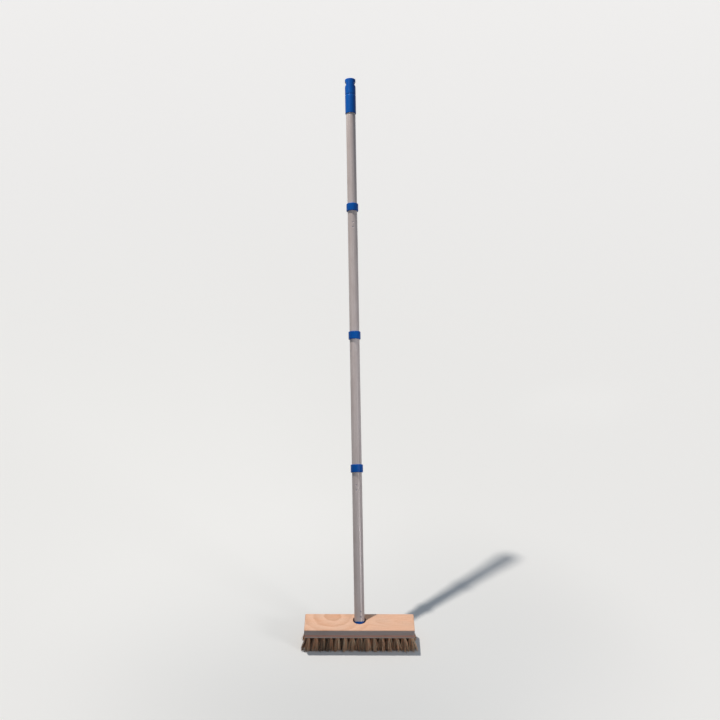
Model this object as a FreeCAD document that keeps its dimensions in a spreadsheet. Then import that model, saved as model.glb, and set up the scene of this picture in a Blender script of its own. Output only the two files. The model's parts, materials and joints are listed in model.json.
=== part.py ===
import FreeCAD, Part
import math
import os

import Sketcher

# A long-handled scrub brush: a beech block set with fibre tufts, and a leaning pole of four
# screwed tube sections with moulded couplers and a hanging cap. Millimetres, +Z up, the front
# of the brush towards -Y. The origin lies on the floor under the middle tuft of the front row.

SIZES = [
    ("block_length", 254, "head block along X"),
    ("block_depth", 70, "head block along Y"),
    ("block_thickness", 20.6, "head block along Z"),
    ("block_corner", 2.5, "radius of the upright corners"),
    ("block_top_chamfer", 1.2, "worn-off arris round the top face"),
    ("bristle_trim", 33.5, "length of fibre that shows below the block"),
    ("row_count", 4, "rows of tufts"),
    ("front_row_count", 15, "tufts in the front row, every second row has one fewer"),
    ("end_margin", 9.4, "end of the block to the middle of its last tuft hole"),
    ("side_margin", 8.5, "front of the block to the middle of the first row"),
    ("tuft_bore", 8.2, "hole that holds a tuft, across its corners"),
    ("tuft_bore_depth", 11, "depth of that hole"),
    ("tuft_fit", 0.05, "play between a tuft and its hole"),
    ("tuft_side_count", 6, "facets round a tuft and its hole"),
    ("tip_gap", 1.2, "gap between the tips of neighbouring tufts"),
    ("end_fan", 6, "how far the end tufts fan out past their holes"),
    ("row_fan", 4, "how far the outer rows fan out past their holes"),
    ("staple_height", 2.2, "flat wire staple, along Z"),
    ("staple_thickness", 0.8, "flat wire staple, along Y"),
    ("back_lean_angle", 29, "lean of the pole to the back, degrees"),
    ("side_lean_angle", 1.3, "lean of the pole to the left, degrees"),
    ("socket_setback", 9.3, "pole axis behind the middle of the block's top"),
    ("socket_bore", 30.4, "wide mouth of the pole's socket"),
    ("seat_depth", 10, "socket mouth to the seat, along the pole"),
    ("socket_wall", 1.2, "least wood between the socket and a tuft hole"),
    ("cut_overrun", 8, "how far a cutting tool runs past the wood"),
    ("tube_diameter", 23.8, "outside of the pole tubes"),
    ("tube_wall", 0.8, "wall of the pole tubes"),
    ("tube_fit", 0.05, "play of a plug or cap on a tube"),
    ("lower_tube", 345, "length of the tube at the block"),
    ("middle_tube", 303, "length of each of the two middle tubes"),
    ("top_tube", 284, "length of the tube under the cap"),
    ("tip_shoulder", 7, "shoulder of a threaded tip, as wide as the tube"),
    ("tip_plug", 27, "part of a tip that is crimped into its tube"),
    ("plug_side_count", 10, "flats round a plug, which keep it from turning in its tube"),
    ("thread_diameter", 19, "crest of the coarse screw thread"),
    ("thread_length", 15.2, "screwed length of a tip, three turns"),
    ("thread_fit", 0.1, "play round the thread"),
    ("collar_diameter", 29.4, "coupler's collar"),
    ("collar_height", 19, "coupler's collar along the pole"),
    ("socket_fit", 0.3, "play of a tip's shoulder in a collar"),
    ("coupler_plug", 44, "plug of a coupler below its collar"),
    ("thread_runout", 3, "tapped depth past the end of a tip"),
    ("crimp_width", 3.2, "crimped dimple across"),
    ("crimp_depth", 0.5, "crimped dimple deep"),
    ("crimp_pitch", 12.4, "first to second dimple of a pair"),
    ("tip_crimp", 10, "tube end to its first dimple, at a tip"),
    ("coupler_crimp", 30, "collar to the first dimple below it"),
    ("tip_crimp_angle", 14, "dimples over the block, turned from the front, degrees"),
    ("lower_crimp_angle", -10, "dimples under the lower collar, degrees"),
    ("middle_crimp_angle", -54, "dimples under the middle collar, degrees"),
    ("upper_crimp_angle", 5, "dimples under the upper collar, degrees"),
    ("cap_diameter", 27, "hanging cap"),
    ("cap_length", 91, "hanging cap along the pole"),
    ("cap_head", 42, "solid head of the cap, above the tube"),
    ("cap_ring", 1.6, "ring groove between sleeve and head"),
    ("cap_ring_depth", 0.6, "depth of that groove"),
    ("cap_crown", 2, "top edge, taken off in two steps"),
    ("hang_bore", 10, "hole through the cap's head"),
    ("hang_drop", 13, "cap's top to the middle of the hole"),
    ("hang_scoop", 16.4, "round scoop in each side of the head, across"),
    ("hang_scoop_depth", 3.5, "depth of a scoop"),
]


class Size:
    """A dimension with its number and the sheet expression that it comes from."""

    def __init__(self, value, text):
        self.value = value
        self.text = text

    def __add__(self, other):
        other = as_size(other)
        return Size(self.value + other.value, f"({self.text} + {other.text})")

    def __sub__(self, other):
        other = as_size(other)
        return Size(self.value - other.value, f"({self.text} - {other.text})")

    def __mul__(self, other):
        other = as_size(other)
        return Size(self.value * other.value, f"({self.text} * {other.text})")

    def __truediv__(self, other):
        other = as_size(other)
        return Size(self.value / other.value, f"({self.text} / {other.text})")

    def __neg__(self):
        return Size(-self.value, f"(0 - {self.text})")


def as_size(number):
    """A plain number as a Size, and a Size as it is."""
    return number if isinstance(number, Size) else Size(number, repr(number))


def sine(angle):
    return Size(math.sin(math.radians(angle.value)), f"sin({angle.text})")


def cosine(angle):
    return Size(math.cos(math.radians(angle.value)), f"cos({angle.text})")


doc = FreeCAD.newDocument("ScrubBrush")
sheet = doc.addObject("Spreadsheet::Sheet", "Sizes")
for line, (alias, value, note) in enumerate(SIZES, start=1):
    sheet.set(f"A{line}", note)
    sheet.set(f"B{line}", str(value))
    sheet.setAlias(f"B{line}", alias)
doc.recompute()
size = {alias: Size(sheet.get(alias), f"Sizes.{alias}") for alias, value, note in SIZES}


def bind(target, path, amount):
    """Tie one property of an object to the sheet."""
    target.setExpression(path, as_size(amount).text)


def place(target, x, y, z, turned=None):
    """Tie an object's place to the sheet, and its turn to (pitch, roll) in degrees."""
    pitch, roll = turned or (0, 0)
    spot = "; ".join(as_size(amount).text for amount in (x, y, z))
    turn = "; ".join(as_size(amount).text for amount in (0, pitch, roll))
    target.setExpression(
        "Placement",
        f"create(<<placement>>; create(<<vector>>; {spot}); create(<<rotation>>; {turn}))",
    )


def compound(name, members):
    group = doc.addObject("Part::Compound", name)
    group.Links = members
    return group


def joined(kind, name, base, tool):
    result = doc.addObject(kind, name)
    result.Base = base
    result.Tool = tool
    return result


def cut(name, base, tool):
    return joined("Part::Cut", name, base, tool)


def fuse(name, base, tool):
    return joined("Part::Fuse", name, base, tool)


def origin_plane(body, role):
    return next(plane for plane in body.Origin.OriginFeatures if plane.Role == role)


def sketch_on(body, role, name):
    sketch = body.newObject("Sketcher::SketchObject", name)
    sketch.AttachmentSupport = [(origin_plane(body, role), "")]
    sketch.MapMode = "FlatFace"
    return sketch


def fix_point(sketch, edge, end, across, along):
    """Hold one end of an edge at two sizes from the sketch's origin."""
    for kind, axis_line, amount in (("DistanceX", -2, across), ("DistanceY", -1, along)):
        amount = as_size(amount)
        if amount.value == 0:
            sketch.addConstraint(Sketcher.Constraint("PointOnObject", edge, end, axis_line))
            continue
        number = sketch.addConstraint(Sketcher.Constraint(kind, -1, 1, edge, end, amount.value))
        sketch.setExpression(f"Constraints[{number}]", amount.text)


def closed_outline(sketch, corners):
    """Straight lines round the corners, each corner an (across, along) pair of sizes."""
    spots = [FreeCAD.Vector(as_size(a).value, as_size(b).value, 0) for a, b in corners]
    count = len(spots)
    for edge in range(count):
        sketch.addGeometry(Part.LineSegment(spots[edge], spots[(edge + 1) % count]), False)
    for edge in range(count):
        sketch.addConstraint(Sketcher.Constraint("Coincident", edge, 2, (edge + 1) % count, 1))
        fix_point(sketch, edge, 1, *corners[edge])


def turned_body(name, corners):
    """A body turned about its own Z from an outline of (radius, height) corners."""
    body = doc.addObject("PartDesign::Body", name)
    sketch = sketch_on(body, "XZ_Plane", f"{name}Profile")
    closed_outline(sketch, corners)
    turned = body.newObject("PartDesign::Revolution", f"{name}Turning")
    turned.Profile = sketch
    turned.ReferenceAxis = (sketch, ["V_Axis"])
    turned.Angle = 360
    doc.recompute()
    return body


# Where the head lies, and the frame of the leaning pole.

row_pitch = (size["block_depth"] - size["side_margin"] * 2) / (size["row_count"] - 1)
tuft_pitch = (size["block_length"] - size["end_margin"] * 2) / (size["front_row_count"] - 1)
block_middle = size["row_fan"] + size["block_depth"] / 2 - size["side_margin"]
block_top = size["bristle_trim"] + size["block_thickness"]
mouth_y = block_middle + size["socket_setback"]
pole_turn = (-size["side_lean_angle"], -size["back_lean_angle"])
pole_step = (
    -(sine(size["side_lean_angle"]) * cosine(size["back_lean_angle"])),
    sine(size["back_lean_angle"]),
    cosine(size["side_lean_angle"]) * cosine(size["back_lean_angle"]),
)


def set_on_pole(target, reach):
    """Place an object on the pole's axis, a distance up from the mouth of the socket."""
    step_x, step_y, step_z = pole_step
    place(target, reach * step_x, mouth_y + reach * step_y, block_top + reach * step_z, pole_turn)


tube_radius = size["tube_diameter"] / 2
tube_inside = tube_radius - size["tube_wall"]
plug_radius = tube_inside - size["tube_fit"]
thread_radius = size["thread_diameter"] / 2
thread_hole = thread_radius + size["thread_fit"]
nodes = []


def name_node(target, label):
    target.Label = label
    nodes.append(target)


# The pole's socket in the block: a wide mouth with a flat seat, and the tapped hole below it.


def socket_cylinder(name, radius, low, high):
    drill = doc.addObject("Part::Cylinder", name)
    bind(drill, "Radius", radius)
    bind(drill, "Height", high - low)
    set_on_pole(drill, low)
    return drill


socket_foot = -(size["seat_depth"] + size["thread_length"] + size["cut_overrun"])
socket = compound(
    "PoleSocket",
    [
        socket_cylinder("SocketMouth", size["socket_bore"] / 2, -size["seat_depth"], tube_radius),
        socket_cylinder("TappedHole", thread_hole, socket_foot, -size["seat_depth"]),
    ],
)
doc.recompute()

# The tufts: holes, fibre bundles, and the flat wire staples that pin each bundle in its hole.

bore_radius = size["tuft_bore"] / 2
root_radius = bore_radius - size["tuft_fit"]
bore_top = size["bristle_trim"] + size["tuft_bore_depth"]
staple_foot = bore_top - size["staple_height"]
last_column = (size["front_row_count"] - 1) / 2
last_row = size["row_count"] - 1
tip_spread = tuft_pitch + size["end_fan"] / last_column - size["tip_gap"]


def tuft_bore(name, x, y):
    bore = doc.addObject("Part::Prism", name)
    bind(bore, "Polygon", size["tuft_side_count"])
    bind(bore, "Circumradius", bore_radius)
    bind(bore, "Height", size["tuft_bore_depth"])
    place(bore, x, y, size["bristle_trim"])
    return bore


def tuft_ring(radius, x, y, z):
    """The corners of a tuft's cross-section at one height."""
    sides = int(size["tuft_side_count"].value)
    turns = [2 * math.pi * side / sides for side in range(sides)]
    middle = FreeCAD.Vector(x.value, y.value, as_size(z).value)
    spokes = [FreeCAD.Vector(math.cos(turn), math.sin(turn), 0) for turn in turns]
    return [middle + spoke * radius.value for spoke in spokes]


def flat_panel(corners):
    return Part.Face(Part.makePolygon(corners + corners[:1]))


def fibre_tuft(x, y, tip_x, tip_y):
    """A bundle with flat sides, straight in its hole and fanning out to its tips on the floor."""
    rings = [
        tuft_ring(tip_spread / 2, tip_x, tip_y, 0),
        tuft_ring(root_radius, x, y, size["bristle_trim"]),
        tuft_ring(root_radius, x, y, staple_foot),
    ]
    panels = [flat_panel(rings[0]), flat_panel(rings[-1])]
    for low, high in zip(rings, rings[1:]):
        for side in range(len(low)):
            panels.append(flat_panel([low[side - 1], low[side], high[side], high[side - 1]]))
    tuft = Part.makeSolid(Part.makeShell(panels))
    if tuft.Volume < 0:
        tuft.reverse()
    return tuft


def staple(name, x, y):
    wire = doc.addObject("Part::Box", name)
    half_length = bore_radius - size["staple_thickness"]
    bind(wire, "Length", half_length * 2)
    bind(wire, "Width", size["staple_thickness"])
    bind(wire, "Height", size["staple_height"])
    place(wire, x - half_length, y - size["staple_thickness"] / 2, staple_foot)
    return wire


bores = []
for row in range(int(size["row_count"].value)):
    root_y = size["row_fan"] + row_pitch * row
    tip_y = root_y + size["row_fan"] * (as_size(2 * row) / last_row - 1)
    tufts = []
    staples = []
    in_row = int(size["front_row_count"].value) - row % 2
    for place_in_row in range(in_row):
        column = place_in_row - (in_row - 1) / 2
        name = f"Row{row + 1}Tuft{place_in_row + 1}"
        root_x = tuft_pitch * column
        tip_x = root_x + size["end_fan"] * column / last_column
        bore = tuft_bore(f"{name}Hole", root_x, root_y)
        bore.recompute()
        if bore.Shape.distToShape(socket.Shape)[0] < size["socket_wall"].value:
            doc.removeObject(bore.Name)
            continue
        bores.append(bore)
        tufts.append(fibre_tuft(root_x, root_y, tip_x, tip_y))
        staples.append(staple(f"{name}Staple", root_x, root_y))
    tuft_row = doc.addObject("Part::Feature", f"TuftRow{row + 1}")
    tuft_row.Shape = Part.makeCompound(tufts)
    name_node(tuft_row, f"tuft_row_{row + 1}")
    name_node(compound(f"StapleRow{row + 1}", staples), f"staple_row_{row + 1}")

# The head block: a planed board with rounded corners and eased edges, then drilled.

block = doc.addObject("PartDesign::Body", "Block")
board = sketch_on(block, "XY_Plane", "BoardOutline")
closed_outline(
    board,
    [
        (0, 0),
        (size["block_length"], 0),
        (size["block_length"], size["block_depth"]),
        (0, size["block_depth"]),
    ],
)
sawn = block.newObject("PartDesign::Pad", "SawnBoard")
sawn.Profile = board
bind(sawn, "Length", size["block_thickness"])
doc.recompute()


def upright_edges(shape):
    names = []
    for number, edge in enumerate(shape.Edges, start=1):
        along = edge.Vertexes[1].Point - edge.Vertexes[0].Point
        if abs(along.z) > abs(along.x) + abs(along.y):
            names.append(f"Edge{number}")
    return names


def top_face(shape):
    heights = [face.CenterOfMass.z for face in shape.Faces]
    return f"Face{heights.index(max(heights)) + 1}"


corners = block.newObject("PartDesign::Fillet", "RoundedCorners")
corners.Base = (sawn, upright_edges(sawn.Shape))
bind(corners, "Radius", size["block_corner"])
doc.recompute()
top_edge = block.newObject("PartDesign::Chamfer", "TopArris")
top_edge.Base = (corners, [top_face(corners.Shape)])
bind(top_edge, "Size", size["block_top_chamfer"])
place(block, -size["block_length"] / 2, block_middle - size["block_depth"] / 2, size["bristle_trim"])
doc.recompute()
tapped = cut("TappedBlock", block, socket)
name_node(cut("HeadBlock", tapped, compound("TuftHoles", bores)), "head_block")

# The pole's pieces, each made along its own Z and then set on the leaning axis.


def pole_tube(name, length, start, crimps):
    """A thin tube with pairs of crimped dimples, each pair at (height, turn)."""
    body = doc.addObject("PartDesign::Body", f"{name}Body")
    sketch = sketch_on(body, "XY_Plane", f"{name}Section")
    for number, radius in enumerate((tube_radius, tube_inside)):
        circle = Part.Circle(FreeCAD.Vector(0, 0, 0), FreeCAD.Vector(0, 0, 1), radius.value)
        sketch.addGeometry(circle, False)
        sketch.addConstraint(Sketcher.Constraint("Coincident", number, 3, -1, 1))
        held = sketch.addConstraint(Sketcher.Constraint("Radius", number, radius.value))
        sketch.setExpression(f"Constraints[{held}]", radius.text)
    drawn = body.newObject("PartDesign::Pad", f"{name}Drawing")
    drawn.Profile = sketch
    bind(drawn, "Length", length)
    half = size["crimp_width"] / 2
    punch_radius = (half * half + size["crimp_depth"] * size["crimp_depth"]) / (size["crimp_depth"] * 2)
    reach = tube_radius - size["crimp_depth"] + punch_radius
    punches = []
    for height, turn in crimps:
        for step in (0, 1):
            punch = doc.addObject("Part::Sphere", f"{name}Punch{len(punches) + 1}")
            bind(punch, "Radius", punch_radius)
            along = height + size["crimp_pitch"] * step
            place(punch, reach * sine(turn), -(reach * cosine(turn)), along)
            punches.append(punch)
    tube = cut(name, body, compound(f"{name}Punches", punches)) if punches else body
    set_on_pole(tube, start)
    return tube


def tube_plug(name, length, foot):
    """The part of a moulding that is pushed into a tube."""
    plug = doc.addObject("Part::Prism", name)
    bind(plug, "Polygon", size["plug_side_count"])
    bind(plug, "Circumradius", plug_radius)
    bind(plug, "Height", length)
    place(plug, 0, 0, foot)
    return plug


def threaded_tip(name, seat):
    """A screw with a shoulder and a plug above it, its seat at a height on the pole."""
    shoulder_top = size["thread_length"] + size["tip_shoulder"]
    screw = turned_body(
        f"{name}Screw",
        [
            (0, 0),
            (thread_radius, 0),
            (thread_radius, size["thread_length"]),
            (tube_radius, size["thread_length"]),
            (tube_radius, shoulder_top),
            (0, shoulder_top),
        ],
    )
    tip = fuse(name, screw, tube_plug(f"{name}Plug", size["tip_plug"], shoulder_top))
    set_on_pole(tip, seat - size["thread_length"])
    return tip


def coupler(name, collar_foot):
    """A collar on the end of a tube, with a socket on top and a tapped plug down inside the tube."""
    collar_radius = size["collar_diameter"] / 2
    shoulder_room = tube_radius + size["socket_fit"]
    foot = size["coupler_plug"]
    top = foot + size["collar_height"]
    seat = top - size["tip_shoulder"]
    thread_floor = seat - size["thread_length"] - size["thread_runout"]
    collar = turned_body(
        f"{name}Collar",
        [
            (0, foot),
            (collar_radius, foot),
            (collar_radius, top),
            (shoulder_room, top),
            (shoulder_room, seat),
            (0, seat),
        ],
    )
    moulding = fuse(f"{name}Moulding", collar, tube_plug(f"{name}Plug", size["coupler_plug"], 0))
    tap = doc.addObject("Part::Cylinder", f"{name}Tap")
    bind(tap, "Radius", thread_hole)
    bind(tap, "Height", top - thread_floor)
    place(tap, 0, 0, thread_floor)
    tapped_coupler = cut(name, moulding, tap)
    set_on_pole(tapped_coupler, collar_foot - size["coupler_plug"])
    return tapped_coupler


crown_step_share = 0.3


def drilled(body, role, name, across, along, radius):
    """A round pocket right through a cap, square to one of its upright planes."""
    sketch = sketch_on(body, role, f"{name}Circle")
    middle = FreeCAD.Vector(as_size(across).value, along.value, 0)
    sketch.addGeometry(Part.Circle(middle, FreeCAD.Vector(0, 0, 1), radius.value), False)
    fix_point(sketch, 0, 3, across, along)
    held = sketch.addConstraint(Sketcher.Constraint("Radius", 0, radius.value))
    sketch.setExpression(f"Constraints[{held}]", radius.text)
    pocket = body.newObject("PartDesign::Pocket", name)
    pocket.Profile = sketch
    pocket.SideType = "Symmetric"
    bind(pocket, "Length", size["cap_diameter"])
    doc.recompute()
    return pocket


def hanging_cap(name, foot):
    """A sleeve over the top tube with a solid head, scooped sides and a hole from scoop to scoop."""
    radius = size["cap_diameter"] / 2
    sleeve = tube_radius + size["tube_fit"]
    sleeve_top = size["cap_length"] - size["cap_head"]
    ring = radius - size["cap_ring_depth"]
    ring_foot = sleeve_top - size["cap_ring"] / 2
    ring_top = sleeve_top + size["cap_ring"] / 2
    crown = size["cap_crown"]
    step = crown * crown_step_share
    body = turned_body(
        name,
        [
            (sleeve, 0),
            (radius, 0),
            (radius, ring_foot),
            (ring, sleeve_top),
            (radius, ring_top),
            (radius, size["cap_length"] - crown),
            (radius - step, size["cap_length"] - step),
            (radius - crown, size["cap_length"]),
            (0, size["cap_length"]),
            (0, sleeve_top),
            (sleeve, sleeve_top),
        ],
    )
    hole_height = size["cap_length"] - size["hang_drop"]
    scoop = size["hang_scoop"] / 2
    scoop_middle = radius - size["hang_scoop_depth"] + scoop
    scooped = drilled(body, "XZ_Plane", f"{name}Scoop", scoop_middle, hole_height, scoop)
    other_side = body.newObject("PartDesign::Mirrored", f"{name}OtherScoop")
    other_side.Originals = [scooped]
    other_side.MirrorPlane = (origin_plane(body, "YZ_Plane"), [""])
    body.Tip = other_side
    doc.recompute()
    drilled(body, "YZ_Plane", f"{name}Hole", 0, hole_height, size["hang_bore"] / 2)
    set_on_pole(body, foot)
    return body


sections = [
    ("lower", size["lower_tube"], size["lower_crimp_angle"]),
    ("lower_mid", size["middle_tube"], size["middle_crimp_angle"]),
    ("upper_mid", size["middle_tube"], size["upper_crimp_angle"]),
    ("top", size["top_tube"], None),
]
start = size["tip_shoulder"] - size["seat_depth"]
crimps = [(size["tip_crimp"], size["tip_crimp_angle"])]
for label, length, coupler_turn in sections:
    name = label.title().replace("_", "")
    end = start + length
    name_node(threaded_tip(f"{name}Tip", start - size["tip_shoulder"]), f"{label}_threaded_tip")
    if coupler_turn:
        crimps.append((length - size["coupler_crimp"] - size["crimp_pitch"], coupler_turn))
        name_node(coupler(f"{name}Coupler", end), f"{label}_coupler")
    else:
        name_node(hanging_cap("HangingCap", end + size["cap_head"] - size["cap_length"]), "hanging_cap")
    name_node(pole_tube(f"{name}Tube", length, start, crimps), f"{label}_tube")
    start = end + size["collar_height"]
    crimps = []

# Nothing is written unless every object and every solid is sound.

doc.recompute()
for item in doc.Objects:
    if "Invalid" in item.State or "Error" in item.State:
        raise RuntimeError(f"{item.Label} failed: {item.State}")
for node in nodes:
    shape = node.Shape
    if shape.isNull() or not shape.isValid() or not shape.Solids:
        raise RuntimeError(f"{node.Label} has no sound solid")
os.makedirs("parts", exist_ok=True)
for node in nodes:
    node.Shape.exportStep(f"parts/{node.Label}.step")
    print(f"{node.Label}: {len(node.Shape.Solids)} solids, {node.Shape.Volume:.1f} mm3")
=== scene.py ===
# %% [markdown]
# # A long-handled scrub brush
#
# The brush is a beech block set with rows of coarse fibre, and a pole of four tube sections that
# screw into each other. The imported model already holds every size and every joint, so this lesson
# loads it first and then dresses each piece where it stands. All lengths are in metres.

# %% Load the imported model
import json
import math
import random

import bmesh
import bpy
from mathutils import Color, Matrix, Quaternion, Vector


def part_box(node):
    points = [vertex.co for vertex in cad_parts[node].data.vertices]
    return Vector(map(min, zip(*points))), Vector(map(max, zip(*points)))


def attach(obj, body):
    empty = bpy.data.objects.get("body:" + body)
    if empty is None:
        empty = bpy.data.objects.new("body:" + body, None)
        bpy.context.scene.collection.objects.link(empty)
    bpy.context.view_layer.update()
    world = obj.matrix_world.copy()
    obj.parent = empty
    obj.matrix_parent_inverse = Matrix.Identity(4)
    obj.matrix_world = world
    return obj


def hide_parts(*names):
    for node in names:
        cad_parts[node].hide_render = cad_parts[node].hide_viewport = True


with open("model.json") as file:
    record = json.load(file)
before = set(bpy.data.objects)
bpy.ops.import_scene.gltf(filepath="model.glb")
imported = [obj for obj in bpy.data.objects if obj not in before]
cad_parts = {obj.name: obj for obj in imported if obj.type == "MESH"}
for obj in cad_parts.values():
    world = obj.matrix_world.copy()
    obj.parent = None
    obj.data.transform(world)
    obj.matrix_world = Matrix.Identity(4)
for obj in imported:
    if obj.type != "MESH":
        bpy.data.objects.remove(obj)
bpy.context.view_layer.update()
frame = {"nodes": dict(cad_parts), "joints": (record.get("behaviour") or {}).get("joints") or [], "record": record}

# %% [markdown]
# ## The leaning pole's own frame
#
# The pole leans back and a little to one side, which makes its round pieces awkward to model in
# place. They are turned upright instead, along their own Z, and one matrix carries them onto the
# pole. The screwed joints lie in line along the pole and the hanging hole runs across it, so the
# matrix comes from the record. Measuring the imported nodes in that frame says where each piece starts.

# %% Find the pole and measure along it
joints = {joint["name"]: joint for joint in frame["joints"]}
mounts = {mount["name"]: mount for mount in frame["record"]["mounts"]}
foot_joint = Vector(joints["lower_unscrew"]["pos_m"])
pole_up = (Vector(joints["top_unscrew"]["pos_m"]) - foot_joint).normalized()
pole_across = Vector(mounts["hang_hole"]["axis"]).normalized()
pole_back = pole_up.cross(pole_across)
pole_frame = Matrix((pole_across, pole_back, pole_up)).transposed().to_4x4()
pole_frame.translation = foot_joint
from_pole = pole_frame.inverted()
SECTIONS = ("lower", "lower_mid", "upper_mid", "top")


def reach_of(node):
    """Where a node starts and ends along the pole, and its widest radius."""
    spots = [from_pole @ vertex.co for vertex in frame["nodes"][node].data.vertices]
    heights = [spot.z for spot in spots]
    return min(heights), max(heights), max(spot.xy.length for spot in spots)


for section in SECTIONS:
    low, high, radius = reach_of(f"{section}_tube")
    print(f"{section}_tube runs from {low:.4f} to {high:.4f}, {2 * radius:.4f} wide")

# %% [markdown]
# ## Turning a mesh into a piece of the brush
#
# Every piece ends the same way: its mesh is shaded smooth up to a sharp angle, gets its finish,
# and is tied to the body that it moves with, and the imported node that it stands for is hidden. The
# weighted normals keep flat faces flat beside their rounded edges.

# %% A helper that finishes a piece
SHARP_ANGLE = math.radians(38)


def add_piece(bm, name, body, slot, finish, *nodes):
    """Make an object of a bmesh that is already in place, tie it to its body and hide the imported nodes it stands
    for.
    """
    mesh = bpy.data.meshes.new(name)
    bm.to_mesh(mesh)
    bm.free()
    mesh.shade_smooth()
    mesh.set_sharp_from_angle(angle=SHARP_ANGLE)
    mesh.materials.append(finish)
    piece = bpy.data.objects.new(name, mesh)
    bpy.context.scene.collection.objects.link(piece)
    piece.modifiers.new("even_shading", "WEIGHTED_NORMAL").keep_sharp = True
    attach(piece, body)
    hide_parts(*nodes)
    print(f"{name}: {len(mesh.polygons)} faces on {body}")


# %% [markdown]
# ## Small helpers for node materials
#
# A finish is a Principled shader fed by procedural textures. These helpers keep the node code
# short: they add a node with its inputs, make a colour ramp or a noise, lay one colour over another
# or turn a height into relief. Colours are written as the eye sees them and turned into the linear
# values of a shader.

# %% Node helpers
def seen(red, green, blue):
    """A colour as it is seen, each channel from 0 to 255, in linear form."""
    return (*Color((red / 255, green / 255, blue / 255)).from_srgb_to_scene_linear(), 1.0)


def new_finish(name):
    material = bpy.data.materials.new(name)
    material.use_nodes = True
    return material, material.node_tree, material.node_tree.nodes["Principled BSDF"]


def add_node(tree, kind, inputs=None, **settings):
    node = tree.nodes.new(kind)
    for setting, value in settings.items():
        setattr(node, setting, value)
    for socket, value in (inputs or {}).items():
        if isinstance(value, bpy.types.NodeSocket):
            tree.links.new(value, node.inputs[socket])
        else:
            node.inputs[socket].default_value = value
    return node


def ramp(tree, factor, stops):
    """A colour ramp through (position, colour) stops, which rise in position."""
    node = add_node(tree, "ShaderNodeValToRGB", {"Fac": factor})
    elements = node.color_ramp.elements
    elements.remove(elements[1])
    elements[0].position, elements[0].color = stops[0]
    for position, colour in stops[1:]:
        elements.new(position).color = colour
    return node.outputs["Color"]


def grey(level):
    return (level, level, level, 1.0)


def blended(tree, kind, amount, under, over):
    inputs = {"Fac": amount, "Color1": under, "Color2": over}
    return add_node(tree, "ShaderNodeMixRGB", inputs, blend_type=kind).outputs["Color"]


def maths(tree, operation, *values):
    return add_node(tree, "ShaderNodeMath", dict(enumerate(values)), operation=operation).outputs[0]


def object_place(tree, middle=(0, 0, 0), stretch=(1, 1, 1), turn=(0, 0, 0)):
    """Object coordinates measured from a middle, along turned axes, in lengths of stretch."""
    place = add_node(tree, "ShaderNodeTexCoord").outputs["Object"]
    inputs = {"Vector": place, "Location": middle, "Rotation": turn, "Scale": stretch}
    return add_node(tree, "ShaderNodeMapping", inputs, vector_type="TEXTURE").outputs["Vector"]


def noise(tree, place, detail=2.0, roughness=0.5):
    inputs = {"Vector": place, "Scale": 1.0, "Detail": detail, "Roughness": roughness}
    return add_node(tree, "ShaderNodeTexNoise", inputs).outputs["Fac"]


def relief(tree, shader, height, depth):
    """Raise the surface by a depth where the height is one."""
    bump = add_node(tree, "ShaderNodeBump", {"Height": height, "Distance": depth})
    tree.links.new(bump.outputs["Normal"], shader.inputs["Normal"])


print("node helpers ready")

# %% [markdown]
# ## Bare beech
#
# The block is a plain planed board. Its top is cut flat through the growth rings, which leaves round
# rings about a darker heart on the left and a pointed figure on the right. A wave texture gives plain
# bands only, so the rings are the contour lines of the distance from two hearts, swayed by noise, and
# they fade in patches, away from the left heart and to the right. The sides carry painted shade: they
# are painted greyer and cooler than the top, and a little darker towards their top edge, to stand for
# the cool shade on them, and they have one reddish streak. Fine grain lies along the whole board, and
# short flecks on its flat faces.

# %% Draw the rings of the top
LEFT_HEART = (-0.063, 0.055, 0.054)
LEFT_RING = (0.0235, 0.0225, 0.012)
RIGHT_HEART = (0.150, 0.033, 0.054)
RIGHT_RING = (0.0376, 0.0075, 0.012)
HEART_BLEND = 0.5
RING_SWAY = 1.0
RING_SWAY_SIZE = (0.04, 0.025, 0.02)
FADE_PATCH_SIZE = (0.03, 0.02, 0.02)
FADE_TO_RIGHT = 2.2
FADE_OUTWARD = 0.15
HEART_KEPT = 0.2
OUTER_FADE = 0.1


def rings_from(tree, heart, ring):
    """How many growth rings lie between a place and a heart."""
    spot = object_place(tree, heart, ring)
    return add_node(tree, "ShaderNodeVectorMath", {0: spot}, operation="LENGTH").outputs["Value"]


def flat_figure(tree, along):
    """The colour of the flat-sawn top: rings about two hearts, which fade in patches and to the right."""
    sway = noise(tree, object_place(tree, stretch=RING_SWAY_SIZE), 4.0, 0.6)
    shift = maths(tree, "MULTIPLY_ADD", sway, RING_SWAY, -RING_SWAY / 2)
    left = maths(tree, "ADD", rings_from(tree, LEFT_HEART, LEFT_RING), shift)
    right = maths(tree, "ADD", rings_from(tree, RIGHT_HEART, RIGHT_RING), shift)
    rings = maths(tree, "FRACT", maths(tree, "SMOOTH_MIN", left, right, HEART_BLEND))
    wood = ramp(tree, rings, [
        (0.0, seen(236, 192, 163)), (0.3, seen(232, 187, 157)), (0.62, seen(224, 175, 143)),
        (0.82, seen(216, 164, 131)), (1.0, seen(236, 192, 163)),
    ])
    patches = noise(tree, object_place(tree, stretch=FADE_PATCH_SIZE), 2.0)
    to_right = maths(tree, "MULTIPLY_ADD", along, FADE_TO_RIGHT, patches)
    outward = maths(tree, "MULTIPLY_ADD", left, FADE_OUTWARD, -HEART_KEPT)
    fading = maths(tree, "ADD", to_right, maths(tree, "MINIMUM", outward, OUTER_FADE))
    fade = ramp(tree, fading, [(0.25, grey(0.0)), (0.75, grey(0.75))])
    wood = blended(tree, "MIX", fade, wood, seen(229, 184, 155))
    heart = ramp(tree, left, [(0.1, grey(0.5)), (0.95, grey(0.0))])
    return blended(tree, "MIX", heart, wood, seen(206, 146, 106))


print("rings about hearts at", LEFT_HEART, "and", RIGHT_HEART)

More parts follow.
